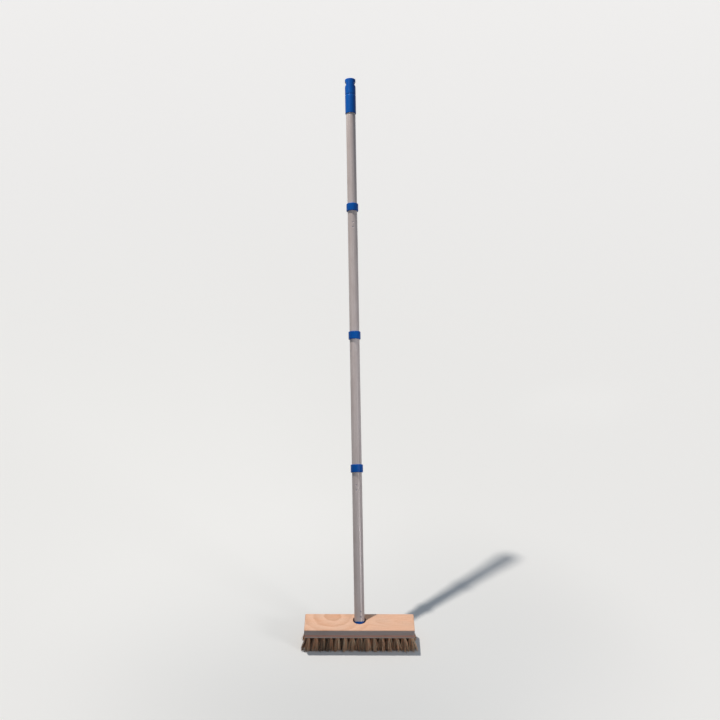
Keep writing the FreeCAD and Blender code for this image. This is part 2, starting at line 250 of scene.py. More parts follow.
# %% Make the beech
GRAIN_SIZE = (0.028, 0.0006, 0.0006)
GRAIN_DEPTH = 0.00025
FLECK_SIZE = (0.0035, 0.00045, 0.00045)
BLEACH_SIZE = (0.06, 0.03, 0.03)
STREAK_SWAY = 0.0012
STREAK_SWAY_SIZE = (0.045, 0.03, 0.02)
FLAT_FACING = 0.6


def painted_shade_sides_and_streak(tree, height):
    """The sides' colour by height: greyer than the top as painted shade, a little darker towards the top, and a
    swaying reddish streak above the foot.
    """
    sway = noise(tree, object_place(tree, stretch=STREAK_SWAY_SIZE), 2.0)
    low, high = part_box("head_block")
    level = maths(tree, "MULTIPLY_ADD", sway, STREAK_SWAY, height)
    inputs = {"Value": level, "From Min": low.z, "From Max": high.z}
    share = add_node(tree, "ShaderNodeMapRange", inputs).outputs["Result"]
    # Painted shade: these greys stand for the cool shade on the sides, and the reddish band is the streak.
    return ramp(tree, share, [
        (0.0, seen(200, 182, 172)), (0.16, seen(198, 180, 170)), (0.21, seen(214, 158, 138)),
        (0.36, seen(212, 156, 138)), (0.46, seen(188, 171, 163)), (0.8, seen(184, 169, 164)),
        (1.0, seen(178, 167, 166)),
    ])


def beech(name):
    material, tree, shader = new_finish(name)
    place = add_node(tree, "ShaderNodeTexCoord").outputs
    spot = add_node(tree, "ShaderNodeSeparateXYZ", {0: place["Object"]}).outputs
    facing = add_node(tree, "ShaderNodeSeparateXYZ", {0: place["Normal"]}).outputs["Z"]
    on_top = maths(tree, "GREATER_THAN", maths(tree, "ABSOLUTE", facing), FLAT_FACING)
    wood = flat_figure(tree, spot["X"])
    bleach = noise(tree, object_place(tree, stretch=BLEACH_SIZE), 1.0)
    tint = ramp(tree, bleach, [(0.35, seen(255, 252, 248)), (0.65, seen(247, 252, 255))])
    wood = blended(tree, "MULTIPLY", 0.8, wood, tint)
    grain = noise(tree, object_place(tree, stretch=GRAIN_SIZE), 3.0, 0.6)
    lines = ramp(tree, grain, [(0.3, seen(228, 218, 210)), (0.55, grey(1.0)), (0.75, seen(246, 240, 234))])
    wood = blended(tree, "MULTIPLY", 0.8, wood, lines)
    fleck = noise(tree, object_place(tree, stretch=FLECK_SIZE), 0.0)
    flecks = ramp(tree, fleck, [(0.66, grey(0.0)), (0.74, grey(0.45))])
    wood = blended(tree, "MIX", flecks, wood, seen(186, 132, 98))
    # The sides take the greys painted as shade, with the grain lines; the top keeps the wood's own colour.
    sides_with_painted_shade = blended(tree, "MULTIPLY", 1.0, painted_shade_sides_and_streak(tree, spot["Z"]), lines)
    tree.links.new(blended(tree, "MIX", on_top, sides_with_painted_shade, wood), shader.inputs["Base Color"])
    tree.links.new(ramp(tree, grain, [(0.3, grey(0.72)), (0.7, grey(0.56))]), shader.inputs["Roughness"])
    relief(tree, shader, grain, GRAIN_DEPTH)
    return material


block_wood = beech("planed_beech")
print("made", block_wood.name)

# %% [markdown]
# ## Coarse plant fibre
#
# The fibre runs from dark brown to tan, and neighbours in a tuft are alike because they come from
# one stalk. Each strand will carry its own tone as an attribute, so the material only has to turn
# that tone into a colour. A slow noise makes some stalks redder and some greyer, and a quick one
# mottles the strand along its length.

# %% Make the fibre finish
FIBRE_SHADES = [
    (0.0, seen(62, 50, 42)), (0.25, seen(134, 112, 96)), (0.5, seen(198, 164, 136)),
    (0.75, seen(232, 194, 160)), (1.0, seen(250, 220, 188)),
]
STALK_SIZE = (0.004, 0.004, 0.06)
MOTTLE_SIZE = (0.002, 0.002, 0.008)


def coarse_fibre(name):
    material, tree, shader = new_finish(name)
    tone = add_node(tree, "ShaderNodeAttribute", attribute_name="strand").outputs["Fac"]
    colour = ramp(tree, tone, FIBRE_SHADES)
    stalk = noise(tree, object_place(tree, stretch=STALK_SIZE), 1.0)
    hue = ramp(tree, stalk, [(0.35, seen(255, 218, 196)), (0.65, seen(232, 238, 234))])
    colour = blended(tree, "MULTIPLY", 0.8, colour, hue)
    mottle = noise(tree, object_place(tree, stretch=MOTTLE_SIZE), 2.0)
    shade = ramp(tree, mottle, [(0.3, grey(0.6)), (0.7, grey(1.0))])
    tree.links.new(blended(tree, "MULTIPLY", 0.5, colour, shade), shader.inputs["Base Color"])
    tree.links.new(ramp(tree, mottle, [(0.3, grey(0.55)), (0.7, grey(0.8))]), shader.inputs["Roughness"])
    return material


fibre = coarse_fibre("coarse_fibre")
print("made", fibre.name)

# %% [markdown]
# ## Satin tube, blue moulding and staple wire
#
# The tubes are drawn metal with a warm grey satin coat: faint lines run along the pole, so their
# noise is stretched along it, and handling leaves patches that are a little more or less glossy.
# The couplers, tips and cap are one blue moulded plastic with a very fine matt texture. The
# staples are plain drawn wire.

# %% Make the tube, plastic and wire finishes
POLE_TURN = pole_frame.to_euler()
DRAWN_LINE_SIZE = (0.0009, 0.0009, 0.35)
DRAWN_LINE_DEPTH = 0.00004
HANDLED_PATCH_SIZE = (0.02, 0.02, 0.06)
TUBE_METALLIC = 0.05
TUBE_SPECULAR = 0.3
FLOW_SIZE = (0.012, 0.012, 0.03)
PORE_SIZE = (0.0005, 0.0005, 0.0005)
PORE_DEPTH = 0.00006
BLUE_SPECULAR = 0.14
WIRE_LINE_SIZE = (0.004, 0.0002, 0.0002)


def satin_tube(name):
    material, tree, shader = new_finish(name)
    drawn = noise(tree, object_place(tree, stretch=DRAWN_LINE_SIZE, turn=POLE_TURN), 3.0, 0.6)
    patches = noise(tree, object_place(tree, stretch=HANDLED_PATCH_SIZE, turn=POLE_TURN), 4.0, 0.6)
    coat = ramp(tree, drawn, [
        (0.3, seen(186, 174, 171)), (0.5, seen(193, 181, 177)), (0.7, seen(208, 196, 193)),
    ])
    wear = ramp(tree, patches, [(0.3, seen(228, 222, 220)), (0.6, grey(1.0))])
    tree.links.new(blended(tree, "MULTIPLY", 0.6, coat, wear), shader.inputs["Base Color"])
    tree.links.new(ramp(tree, patches, [(0.3, grey(0.33)), (0.7, grey(0.24))]), shader.inputs["Roughness"])
    shader.inputs["Metallic"].default_value = TUBE_METALLIC
    shader.inputs["Specular IOR Level"].default_value = TUBE_SPECULAR
    relief(tree, shader, drawn, DRAWN_LINE_DEPTH)
    return material


def blue_moulding(name):
    material, tree, shader = new_finish(name)
    flow = noise(tree, object_place(tree, stretch=FLOW_SIZE, turn=POLE_TURN), 3.0, 0.6)
    pores = noise(tree, object_place(tree, stretch=PORE_SIZE), 2.0)
    colour = ramp(tree, flow, [(0.3, seen(0, 74, 154)), (0.55, seen(0, 82, 164)), (0.75, seen(0, 90, 174))])
    tree.links.new(colour, shader.inputs["Base Color"])
    tree.links.new(ramp(tree, flow, [(0.3, grey(0.42)), (0.7, grey(0.3))]), shader.inputs["Roughness"])
    shader.inputs["Specular IOR Level"].default_value = BLUE_SPECULAR
    relief(tree, shader, pores, PORE_DEPTH)
    return material


def drawn_wire(name):
    material, tree, shader = new_finish(name)
    lines = noise(tree, object_place(tree, stretch=WIRE_LINE_SIZE), 2.0)
    steel = ramp(tree, lines, [(0.3, seen(150, 150, 152)), (0.7, seen(196, 196, 198))])
    tree.links.new(steel, shader.inputs["Base Color"])
    tree.links.new(ramp(tree, lines, [(0.3, grey(0.42)), (0.7, grey(0.28))]), shader.inputs["Roughness"])
    shader.inputs["Metallic"].default_value = 1.0
    return material


pole_metal = satin_tube("satin_tube")
blue_plastic = blue_moulding("blue_moulding")
staple_wire = drawn_wire("drawn_wire")
print("made", pole_metal.name, blue_plastic.name, staple_wire.name)

# %% [markdown]
# ## The four tubes
#
# Each tube is one drawn length, so a circle is extruded along it and the wall is added last. The
# mouldings inside are held by pairs of crimped dimples. A dimple could be a bump in the material,
# but it should show in the outline too, so the tube gets fine rings there and the vertices that lie
# under the punch are pushed in.

# %% Set out the crimps
CRIMP_HALF_WIDTH = 0.0022
CRIMP_PITCH = 0.0124
CRIMP_RINGS = 8
PLAIN_RINGS = 10
TIP_CRIMP = 0.010
TIP_CRIMP_TURN = 14
COUPLER_CRIMP = 0.030
COUPLER_CRIMP_TURNS = {"lower": -10, "lower_mid": -54, "upper_mid": 5}


def crimp_spots(section, low, high, radius):
    """The middles of a tube's dimples, each turned by degrees from the front of the brush."""
    pairs = []
    if section == "lower":
        pairs.append((low + TIP_CRIMP, TIP_CRIMP_TURN))
    if section in COUPLER_CRIMP_TURNS:
        pairs.append((high - COUPLER_CRIMP - CRIMP_PITCH, COUPLER_CRIMP_TURNS[section]))
    spots = []
    for height, degrees in pairs:
        turn = math.radians(degrees)
        for step in (0, 1):
            place = (radius * math.sin(turn), -radius * math.cos(turn), height + step * CRIMP_PITCH)
            spots.append(Vector(place))
    return spots


def ring_heights(low, high, spots):
    """Evenly spaced rings, with close ones across each dimple."""
    heights = {low + (high - low) * step / PLAIN_RINGS for step in range(PLAIN_RINGS + 1)}
    for spot in spots:
        for step in range(-CRIMP_RINGS, CRIMP_RINGS + 1):
            heights.add(spot.z + CRIMP_HALF_WIDTH * step / CRIMP_RINGS)
    return sorted(heights)


print("dimples lie", CRIMP_PITCH, "apart")

# %% Draw the tubes
TUBE_SIDES = 144
TUBE_WALL = 0.0008
CRIMP_DEPTH = 0.001


def pole_tube(section):
    low, high, radius = reach_of(f"{section}_tube")
    spots = crimp_spots(section, low, high, radius)
    heights = ring_heights(low, high, spots)
    bm = bmesh.new()
    bmesh.ops.create_circle(bm, segments=TUBE_SIDES, radius=radius, matrix=Matrix.Translation((0, 0, low)))
    edges = bm.edges[:]
    for below, above in zip(heights, heights[1:]):
        grown = bmesh.ops.extrude_edge_only(bm, edges=edges)["geom"]
        edges = [item for item in grown if isinstance(item, bmesh.types.BMEdge)]
        corners = [item for item in grown if isinstance(item, bmesh.types.BMVert)]
        bmesh.ops.translate(bm, verts=corners, vec=(0, 0, above - below))
    for spot in spots:
        for vertex in bm.verts:
            share = (vertex.co - spot).length / CRIMP_HALF_WIDTH
            if share < 1:
                vertex.co.xy *= 1 - CRIMP_DEPTH / radius * (1 - share * share)
    bmesh.ops.recalc_face_normals(bm, faces=bm.faces)
    bmesh.ops.solidify(bm, geom=bm.faces[:], thickness=TUBE_WALL)
    bmesh.ops.transform(bm, matrix=pole_frame, verts=bm.verts)
    node = f"{section}_tube"
    add_piece(bm, f"satin_{node}", f"{section}_section", "pole_metal", pole_metal, node)


for section in SECTIONS:
    pole_tube(section)

# %% [markdown]
# ## Turned mouldings
#
# Tips, couplers and cap are all round, so each is a profile of a few corners turned about the
# pole. A corner carries its own rounding: bevelling the profile's vertex before the spin gives the
# soft edge of a moulding for nothing, where bevelling the finished solid would need every edge
# loop to be found again.

# %% A helper that turns a profile
TURN_STEPS = 96
ROUND_STEPS = 4
MERGE_DISTANCE = 1e-6


def turned(corners):
    """Turn a profile of (radius, height, rounding) corners, which starts and ends on the axis."""
    bm = bmesh.new()
    points = [bm.verts.new((radius, 0, height)) for radius, height, _ in corners]
    for start, end in zip(points, points[1:]):
        bm.edges.new((start, end))
    for point, (_, _, rounding) in zip(points, corners):
        if rounding:
            bmesh.ops.bevel(
                bm, geom=[point], offset=rounding, affect="VERTICES",
                segments=ROUND_STEPS, profile=0.5, material=-1,
            )
    bmesh.ops.spin(
        bm, geom=bm.verts[:] + bm.edges[:], cent=(0, 0, 0), axis=(0, 0, 1),
        angle=2 * math.pi, steps=TURN_STEPS, use_merge=True,
    )
    bmesh.ops.remove_doubles(bm, verts=bm.verts, dist=MERGE_DISTANCE)
    bmesh.ops.recalc_face_normals(bm, faces=bm.faces)
    return bm


print("profiles turn in", TURN_STEPS, "steps")

# %% [markdown]
# ## Threaded tips
#
# The foot of every section is a moulded screw with a shoulder as wide as the tube; the lowest one
# shows as a blue crescent in the block's socket. The thread is a coarse trapezium. Spin takes a
# step along the axis with each turn, so the same operator that makes round things also winds the
# thread round its core.

# %% Mould the threaded tips
THREAD_LENGTH = 0.0152
TIP_SHOULDER = 0.007
THREAD_CREST = 0.0095
THREAD_CORE = 0.0080
THREAD_PITCH = 0.00508
THREAD_STEPS = 36
HALF_ROOT_PITCHES = 0.36
HALF_CREST_PITCHES = 0.16
PLUG_RADIUS = 0.01105
SOFT_EDGE = 0.0006


def wind_thread(bm, foot, turns):
    """Add a ridge that winds up the core from a height."""
    half_root = HALF_ROOT_PITCHES * THREAD_PITCH
    half_crest = HALF_CREST_PITCHES * THREAD_PITCH
    sunk = THREAD_CORE - SOFT_EDGE
    outline = [(sunk, -half_root), (THREAD_CREST, -half_crest), (THREAD_CREST, half_crest), (sunk, half_root)]
    corners = [bm.verts.new((radius, 0, foot + height)) for radius, height in outline]
    ridge = bm.faces.new(corners)
    geom = [ridge] + corners + list(ridge.edges)
    steps = round(turns * THREAD_STEPS)
    rise = Vector((0, 0, THREAD_PITCH / THREAD_STEPS))
    bmesh.ops.spin(
        bm, geom=geom, cent=(0, 0, 0), axis=(0, 0, 1), dvec=rise,
        angle=2 * math.pi * turns, steps=steps, use_merge=False,
    )


def threaded_tip(section):
    node = f"{section}_threaded_tip"
    low, high, radius = reach_of(node)
    seat = low + THREAD_LENGTH
    shoulder_top = seat + TIP_SHOULDER
    bm = turned([
        (0, low, 0),
        (THREAD_CORE, low, 2 * SOFT_EDGE),
        (THREAD_CORE, seat, 0),
        (radius, seat, SOFT_EDGE),
        (radius, shoulder_top, SOFT_EDGE / 2),
        (PLUG_RADIUS, shoulder_top, 0),
        (PLUG_RADIUS, high, 2 * SOFT_EDGE),
        (0, high, 0),
    ])
    turns = THREAD_LENGTH / THREAD_PITCH - 1
    wind_thread(bm, low + THREAD_PITCH / 2, turns)
    bmesh.ops.recalc_face_normals(bm, faces=bm.faces)
    bmesh.ops.transform(bm, matrix=pole_frame, verts=bm.verts)
    add_piece(bm, f"moulded_{node}", f"{section}_section", "blue_plastic", blue_plastic, node)


for section in SECTIONS:
    threaded_tip(section)

# %% [markdown]
# ## Couplers
#
# A coupler is pushed into the top of a tube: its collar is the blue band that shows, with a socket
# for the next section's shoulder, and a tapped plug goes down inside the tube. One profile holds
# all of it, with the collar's two outer edges well rounded because they catch the light.

# %% Mould the couplers
COLLAR_HEIGHT = 0.019
COLLAR_EDGE = 0.0014
SOCKET_RADIUS = 0.0122
THREAD_HOLE = 0.0096
THREAD_RUNOUT = 0.003


def coupler(section):
    node = f"{section}_coupler"
    low, high, radius = reach_of(node)
    collar_foot = high - COLLAR_HEIGHT
    seat = high - TIP_SHOULDER
    thread_floor = seat - THREAD_LENGTH - THREAD_RUNOUT
    bm = turned([
        (0, low, 0),
        (PLUG_RADIUS, low, 2 * SOFT_EDGE),
        (PLUG_RADIUS, collar_foot, 0),
        (radius, collar_foot, COLLAR_EDGE),
        (radius, high, COLLAR_EDGE),
        (SOCKET_RADIUS, high, SOFT_EDGE / 2),
        (SOCKET_RADIUS, seat, 0),
        (THREAD_HOLE, seat, SOFT_EDGE),
        (THREAD_HOLE, thread_floor, 0),
        (0, thread_floor, 0),
    ])
    bmesh.ops.transform(bm, matrix=pole_frame, verts=bm.verts)
    add_piece(bm, f"moulded_{node}", f"{section}_section", "blue_plastic", blue_plastic, node)


for section in SECTIONS[:-1]:
    coupler(section)

# %% [markdown]
# ## Drilling and cutting
#
# Some pieces are bored or scooped after they are turned or sawn. Modelling such holes face by face is
# slow work, and a Boolean modifier cuts them cleanly. So a helper puts both meshes on objects for a
# moment, lets the modifier cut, and takes the result back as a bmesh. A cutter must not cross itself,
# so holes that overlap are cut one after the other.

# %% Helpers that drill and cut
HOLE_SIDES = 72


def drill(bm, radius, low, high, sides, placing):
    """Add a closed cylinder between two heights, carried by a matrix."""
    middle = Matrix.Translation((0, 0, (low + high) / 2))
    bmesh.ops.create_cone(
        bm, cap_ends=True, segments=sides, radius1=radius, radius2=radius,
        depth=high - low, matrix=placing @ middle,
    )


def carved(bm, cutter):
    """Cut one bmesh from another and give the result as a new bmesh."""
    objects = []
    for name, shape in (("uncut", bm), ("cutter", cutter)):
        mesh = bpy.data.meshes.new(name)
        shape.to_mesh(mesh)
        shape.free()
        objects.append(bpy.data.objects.new(name, mesh))
        bpy.context.scene.collection.objects.link(objects[-1])
    cut = objects[0].modifiers.new("cut", "BOOLEAN")
    cut.operation = "DIFFERENCE"
    cut.solver = "EXACT"
    cut.object = objects[1]
    scene_now = bpy.context.evaluated_depsgraph_get()
    result = bmesh.new()
    result.from_object(objects[0], scene_now)
    for leftover in objects:
        mesh = leftover.data
        bpy.data.objects.remove(leftover)
        bpy.data.meshes.remove(mesh)
    return result


print("round holes have", HOLE_SIDES, "sides")

# %% [markdown]
# ## The hanging cap
#
# The cap is a sleeve over the top tube with a solid head and a ring groove between the two. The
# head is scooped on both sides, which leaves a waist under a flange, and a hanging hole goes through
# from scoop to scoop. The cap is round but for these, so it is turned first, and the scoops and the
# hole are cut out of it after.

# %% Mould the cap
CAP_HEAD = 0.042
CAP_SLEEVE = 0.01195
CAP_RING = 0.0016
CAP_RING_DEPTH = 0.0006
CAP_CROWN = 0.0016
CAP_FOOT_EDGE = 0.0008
SCOOP_RADIUS = 0.0082
SCOOP_DEPTH = 0.0035
LAID_ACROSS = Matrix.Rotation(math.pi / 2, 4, "Y")
LAID_BACK = Matrix.Rotation(math.pi / 2, 4, "X")


def drilled_across(bm, radius, half_run, placing):
    """Take a round hole or scoop out of a bmesh."""
    cutter = bmesh.new()
    drill(cutter, radius, -half_run, half_run, HOLE_SIDES, placing)
    return carved(bm, cutter)


def hanging_cap():
    low, high, radius = reach_of("hanging_cap")
    sleeve_top = high - CAP_HEAD
    bm = turned([
        (0, sleeve_top, 0),
        (CAP_SLEEVE, sleeve_top, 0),
        (CAP_SLEEVE, low, CAP_FOOT_EDGE / 2),
        (radius, low, CAP_FOOT_EDGE),
        (radius, sleeve_top - CAP_RING, SOFT_EDGE),
        (radius - CAP_RING_DEPTH, sleeve_top - CAP_RING / 2, 0),
        (radius - CAP_RING_DEPTH, sleeve_top + CAP_RING / 2, 0),
        (radius, sleeve_top + CAP_RING, SOFT_EDGE),
        (radius, high, CAP_CROWN),
        (0, high, 0),
    ])
    hole = mounts["hang_hole"]
    level = (from_pole @ Vector(hole["pos_m"])).z
    scoop_middle = radius - SCOOP_DEPTH + SCOOP_RADIUS
    for side in (-1, 1):
        placing = Matrix.Translation((side * scoop_middle, 0, level)) @ LAID_BACK
        bm = drilled_across(bm, SCOOP_RADIUS, 2 * radius, placing)
    placing = Matrix.Translation((0, 0, level)) @ LAID_ACROSS
    bm = drilled_across(bm, hole["dims"]["r_mm"] / 1000, 2 * radius, placing)
    bmesh.ops.transform(bm, matrix=pole_frame, verts=bm.verts)
    add_piece(bm, "moulded_hanging_cap", "top_section", "blue_plastic", blue_plastic, "hanging_cap")


hanging_cap()

# %% [markdown]
# ## Where the tufts stand
#
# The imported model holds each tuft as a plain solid, so the tufts' places can be read from it: a
# copy of a row is merged, which joins its loose triangles into one island per tuft, and each
# island's highest and lowest corners give the middle of its root and of its tips.

# %% Read the tufts' places
TUFT_ROWS = (1, 2, 3, 4)


def islands(bm):
    """The vertices of each connected piece, in the same order on every run."""
    waiting = dict.fromkeys(bm.verts)
    while waiting:
        island = [waiting.popitem()[0]]
        for vertex in island:
            for edge in vertex.link_edges:
                other = edge.other_vert(vertex)
                if other in waiting:
                    del waiting[other]
                    island.append(other)
        yield island


def middle_at(island, height):
    """The middle of an island's corners at one height."""
    level = [vertex.co for vertex in island if abs(vertex.co.z - height) < MERGE_DISTANCE]
    return sum(level, Vector()) / len(level)


def tuft_places(row):
    """The middle of each tuft's root and of its tips, from left to right."""
    bm = bmesh.new()
    bm.from_mesh(frame["nodes"][f"tuft_row_{row}"].data)
    bmesh.ops.remove_doubles(bm, verts=bm.verts, dist=MERGE_DISTANCE)
    places = []
    for island in islands(bm):
        heights = [vertex.co.z for vertex in island]
        places.append((middle_at(island, max(heights)), middle_at(island, min(heights))))
    bm.free()
    return sorted(places, key=lambda place: place[0].x)


tufts = {row: tuft_places(row) for row in TUFT_ROWS}
print("tufts in each row", {row: len(places) for row, places in tufts.items()})

# %% [markdown]
# ## The beech block
#
# The block is the head of the brush, a planed board with a leaning hole for the pole in its top and a
# hole for every tuft in its underside. An extruded outline could not hold these, so the board starts
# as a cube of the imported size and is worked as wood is. Its upright corners are rounded, and the edges
# round its top and its foot get a narrow flat chamfer. The leaning socket and the tapped hole are
# drilled one after the other, all the tuft holes at once because they lie apart, and the socket's rim
# is eased last.

# %% Saw the board
BLOCK_CORNER = 0.0025
BLOCK_TOP_EDGE = 0.0012
BLOCK_FOOT_EDGE = 0.0004
CORNER_STEPS = 6
CHAMFER_STEPS = 1


def ease_edges(bm, edges, offset, segments):
    bmesh.ops.bevel(
        bm, geom=edges, offset=offset, affect="EDGES", segments=segments, profile=0.5, material=-1,
    )


def sawn_board():
    low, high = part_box("head_block")
    bm = bmesh.new()
    middle = Matrix.Translation((low + high) / 2)
    bmesh.ops.create_cube(bm, size=1, matrix=middle @ Matrix.Diagonal((*(high - low), 1)))
    upright = [edge for edge in bm.edges if abs(edge.verts[0].co.z - edge.verts[1].co.z) > MERGE_DISTANCE]
    ease_edges(bm, upright, BLOCK_CORNER, CORNER_STEPS)
    for level, offset in ((high.z, BLOCK_TOP_EDGE), (low.z, BLOCK_FOOT_EDGE)):
        around = [edge for edge in bm.edges if all(abs(v.co.z - level) < MERGE_DISTANCE for v in edge.verts)]
        ease_edges(bm, around, offset, CHAMFER_STEPS)
    return bm


print("the board's edges are eased by", BLOCK_TOP_EDGE, "above and", BLOCK_FOOT_EDGE, "below")

# %% Drill the block
SOCKET_MOUTH = 0.0152
SOCKET_RUN = 0.02
TAPPED_RUN = 0.03
TUFT_HOLE = 0.0041
TUFT_HOLE_DEPTH = 0.011
TUFT_HOLE_SIDES = 24
DRILL_OVERRUN = 0.002
RIM_EDGE = 0.0008
RIM_STEPS = 4


def socket_rim(bm, level):
    """The edges where the leaning socket comes out of the board's top."""
    rim = []
    for edge in bm.edges:
        on_top = all(abs(vertex.co.z - level) < MERGE_DISTANCE for vertex in edge.verts)
        spots = [from_pole @ vertex.co for vertex in edge.verts]
        if on_top and all(spot.xy.length < SOCKET_MOUTH + MERGE_DISTANCE for spot in spots):
            rim.append(edge)
    return rim


def head_block():
    low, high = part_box("head_block")
    socket = bmesh.new()
    drill(socket, SOCKET_MOUTH, 0, SOCKET_RUN, HOLE_SIDES, pole_frame)
    tapped = bmesh.new()
    drill(tapped, THREAD_HOLE, -TAPPED_RUN, DRILL_OVERRUN, HOLE_SIDES, pole_frame)
    tuft_holes = bmesh.new()
    for places in tufts.values():
        for root, _ in places:
            spot = Matrix.Translation((root.x, root.y, low.z))
            drill(tuft_holes, TUFT_HOLE, -DRILL_OVERRUN, TUFT_HOLE_DEPTH, TUFT_HOLE_SIDES, spot)
    bm = sawn_board()
    for cutter in (socket, tapped, tuft_holes):
        bm = carved(bm, cutter)
    ease_edges(bm, socket_rim(bm, high.z), RIM_EDGE, RIM_STEPS)
    add_piece(bm, "beech_head_block", "head", "block_wood", block_wood, "head_block")


head_block()

# %% [markdown]
# ## The fibre
#
# A tuft is a bundle of over two hundred stiff strands, folded and stapled in its hole. It leaves
# the wood as narrow as the hole and flares, so the tufts part in dark gaps under the block and run
# together further down. A particle system would be quick, but it does not export; a solid with a
# bump texture has no loose ends. So every strand is a poly curve of a few points, and one row of
# curves becomes one mesh. Strands lean in clumps, and each clump has its own tone.

# %% Draw one strand
FIBRE_RADIUS = 0.00028
CLUMPS_PER_TUFT = 22
CLUMP_GATHER = 0.24
CLUMP_LEAN = 0.0026
STRAND_LEAN = CLUMP_LEAN / 3
STRAY_SHARE = 0.07
STRAY_LEAN = 0.0065
TIP_SPREAD = 0.012
TRIM_SCATTER = 0.0018
STATIONS = (0.0, 0.3, 0.65, 1.0)
FLARE_POWER = 1.2
BOW = 0.0011
MIDDLE_TONE = 0.68
RIGHT_SIDE_PAINTED_LIGHT = 0.2
CLUMP_TONE_SPREAD = 0.29
STRAND_TONE_SPREAD = 0.2
SEED = 7342
draw = random.Random(SEED)


def unit_spoke():
    """A random point of the unit disc, evenly spread."""
    turn = draw.uniform(0, 2 * math.pi)
    return Vector((math.cos(turn), math.sin(turn), 0)) * math.sqrt(draw.random())


def clumps_of_tuft():
    """Where each clump sits in its tuft, how it leans, and its tone; the tone is painted lighter on the right, a
    painted light for the light that falls on that side.
    """
    clumps = []
    for _ in range(CLUMPS_PER_TUFT):
        seat = unit_spoke()
        # Painted light: clumps on the right side of each tuft are made lighter.
        tone = MIDDLE_TONE + RIGHT_SIDE_PAINTED_LIGHT * seat.x + draw.gauss(0, CLUMP_TONE_SPREAD)
        clumps.append((seat, unit_spoke() * CLUMP_LEAN, tone))
    return clumps


def fibre_path(root, tip, underside, clumps):
    """The points of one strand from its staple to the floor, and its tone."""
    spoke = unit_spoke()
    seat, lean, tone = min(clumps, key=lambda clump: (clump[0] - spoke).length)
    loose = STRAY_LEAN if draw.random() < STRAY_SHARE else STRAND_LEAN
    start = root + spoke * (TUFT_HOLE - 2 * FIBRE_RADIUS)
    end = tip + spoke.lerp(seat, CLUMP_GATHER) * TIP_SPREAD + lean + unit_spoke() * loose
    end.z = TRIM_SCATTER * draw.random() ** 2 + FIBRE_RADIUS
    bow = unit_spoke() * BOW
    points = [start]
    for station in STATIONS:
        spread = 1 - (1 - station) ** FLARE_POWER
        level = underside + (end.z - underside) * station
        point = start.lerp(end, spread) + bow * math.sin(math.pi * station)
        points.append(Vector((point.x, point.y, level)))
    return points, min(1.0, max(0.0, draw.gauss(tone, STRAND_TONE_SPREAD)))


print("a strand has", len(STATIONS) + 1, "points")

# %% Grow the rows of fibre
FIBRES_PER_TUFT = 230
FIBRE_SIDES = 4
END_TAPER = (0.45, 0.75)


def fibre_row(row):
    """One row of tufts as a mesh with a tone on every strand."""
    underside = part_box("head_block")[0].z
    curve = bpy.data.curves.new(f"fibre_paths_{row}", "CURVE")
    curve.dimensions = "3D"
    curve.bevel_depth = FIBRE_RADIUS
    curve.bevel_resolution = 0
    tones = []
    for root, tip in tufts[row]:
        clumps = clumps_of_tuft()
        for _ in range(FIBRES_PER_TUFT):
            points, tone = fibre_path(root, tip, underside, clumps)
            spline = curve.splines.new("POLY")
            spline.points.add(len(points) - 1)
            for spot, point in zip(spline.points, points):
                spot.co = (*point, 1)
            spline.points[-1].radius = draw.uniform(*END_TAPER)
            tones.append(tone)
    holder = bpy.data.objects.new(curve.name, curve)
    bpy.context.scene.collection.objects.link(holder)
    mesh = bpy.data.meshes.new_from_object(holder.evaluated_get(bpy.context.evaluated_depsgraph_get()))
    bpy.data.objects.remove(holder)
    bm = bmesh.new()
    bm.from_mesh(mesh)
    bpy.data.meshes.remove(mesh)
    strand_tone = bm.verts.layers.float.new("strand")
    per_strand = FIBRE_SIDES * (len(STATIONS) + 1)
    for number, vertex in enumerate(bm.verts):
        vertex[strand_tone] = tones[number // per_strand]
    bmesh.ops.holes_fill(bm, edges=[edge for edge in bm.edges if edge.is_boundary], sides=FIBRE_SIDES)
    add_piece(bm, f"fibre_row_{row}", "head", "fibre", fibre, f"tuft_row_{row}")


for row in TUFT_ROWS:
    fibre_row(row)

# %% [markdown]
# ## The staples
#
# The staples are small flat wires at the bottom of the tuft holes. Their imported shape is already
# right, so they stay, and only get the wire's finish.

# %% Finish the staples
for row in TUFT_ROWS:
    node = frame["nodes"][f"staple_row_{row}"]
    node.data.materials.clear()
    node.data.materials.append(staple_wire)
print("staple rows finished:", len(TUFT_ROWS))

# %% [markdown]
# ## The key lamp and the floor
#
# The key lamp hangs behind the brush, a little off the pole's own line. It reaches the top of the
# pole from the side and its foot almost along it, so the pole is bright on its left above and dull
# below. The stage is a plain pale floor that runs past the horizon, so nothing competes with the
# brush. A lamp leaves a floor darker with distance, so this one glows by what the key lamp loses:
# only to the camera and in reflections, and hardly near the brush, where the shade stays as it falls.
# To the rays that carry light the floor is a darker grey, which keeps the shade under the block deep.

# %% Place the key lamp and lay the floor
KEY_ALONG = 3.1
KEY_ASIDE = 0.8
KEY_TURN = math.radians(47)
KEY_POWER = 326
KEY_COLOUR = seen(255, 249, 242)
FLOOR_HALF = 120
FLOOR_TONE = seen(224, 224, 222)
FLOOR_BOUNCE = seen(116, 116, 116)
FLOOR_ROUGHNESS = 0.9
FALL_OFF_POWER = 3.0
GLOW_START = 0.1
GLOW_FULL = 0.8


def shown_rays(tree):
    """One for camera, glossy and transmission rays, nothing for the rays that only carry light."""
    rays = add_node(tree, "ShaderNodeLightPath").outputs
    shown = maths(tree, "MAXIMUM", rays["Is Camera Ray"], rays["Is Glossy Ray"])
    return maths(tree, "MAXIMUM", shown, rays["Is Transmission Ray"])


def key_place():
    """A place behind the brush and a little off the pole's own line."""
    aside = -pole_across * math.sin(KEY_TURN) - pole_back * math.cos(KEY_TURN)
    return foot_joint + pole_up * KEY_ALONG + aside * KEY_ASIDE


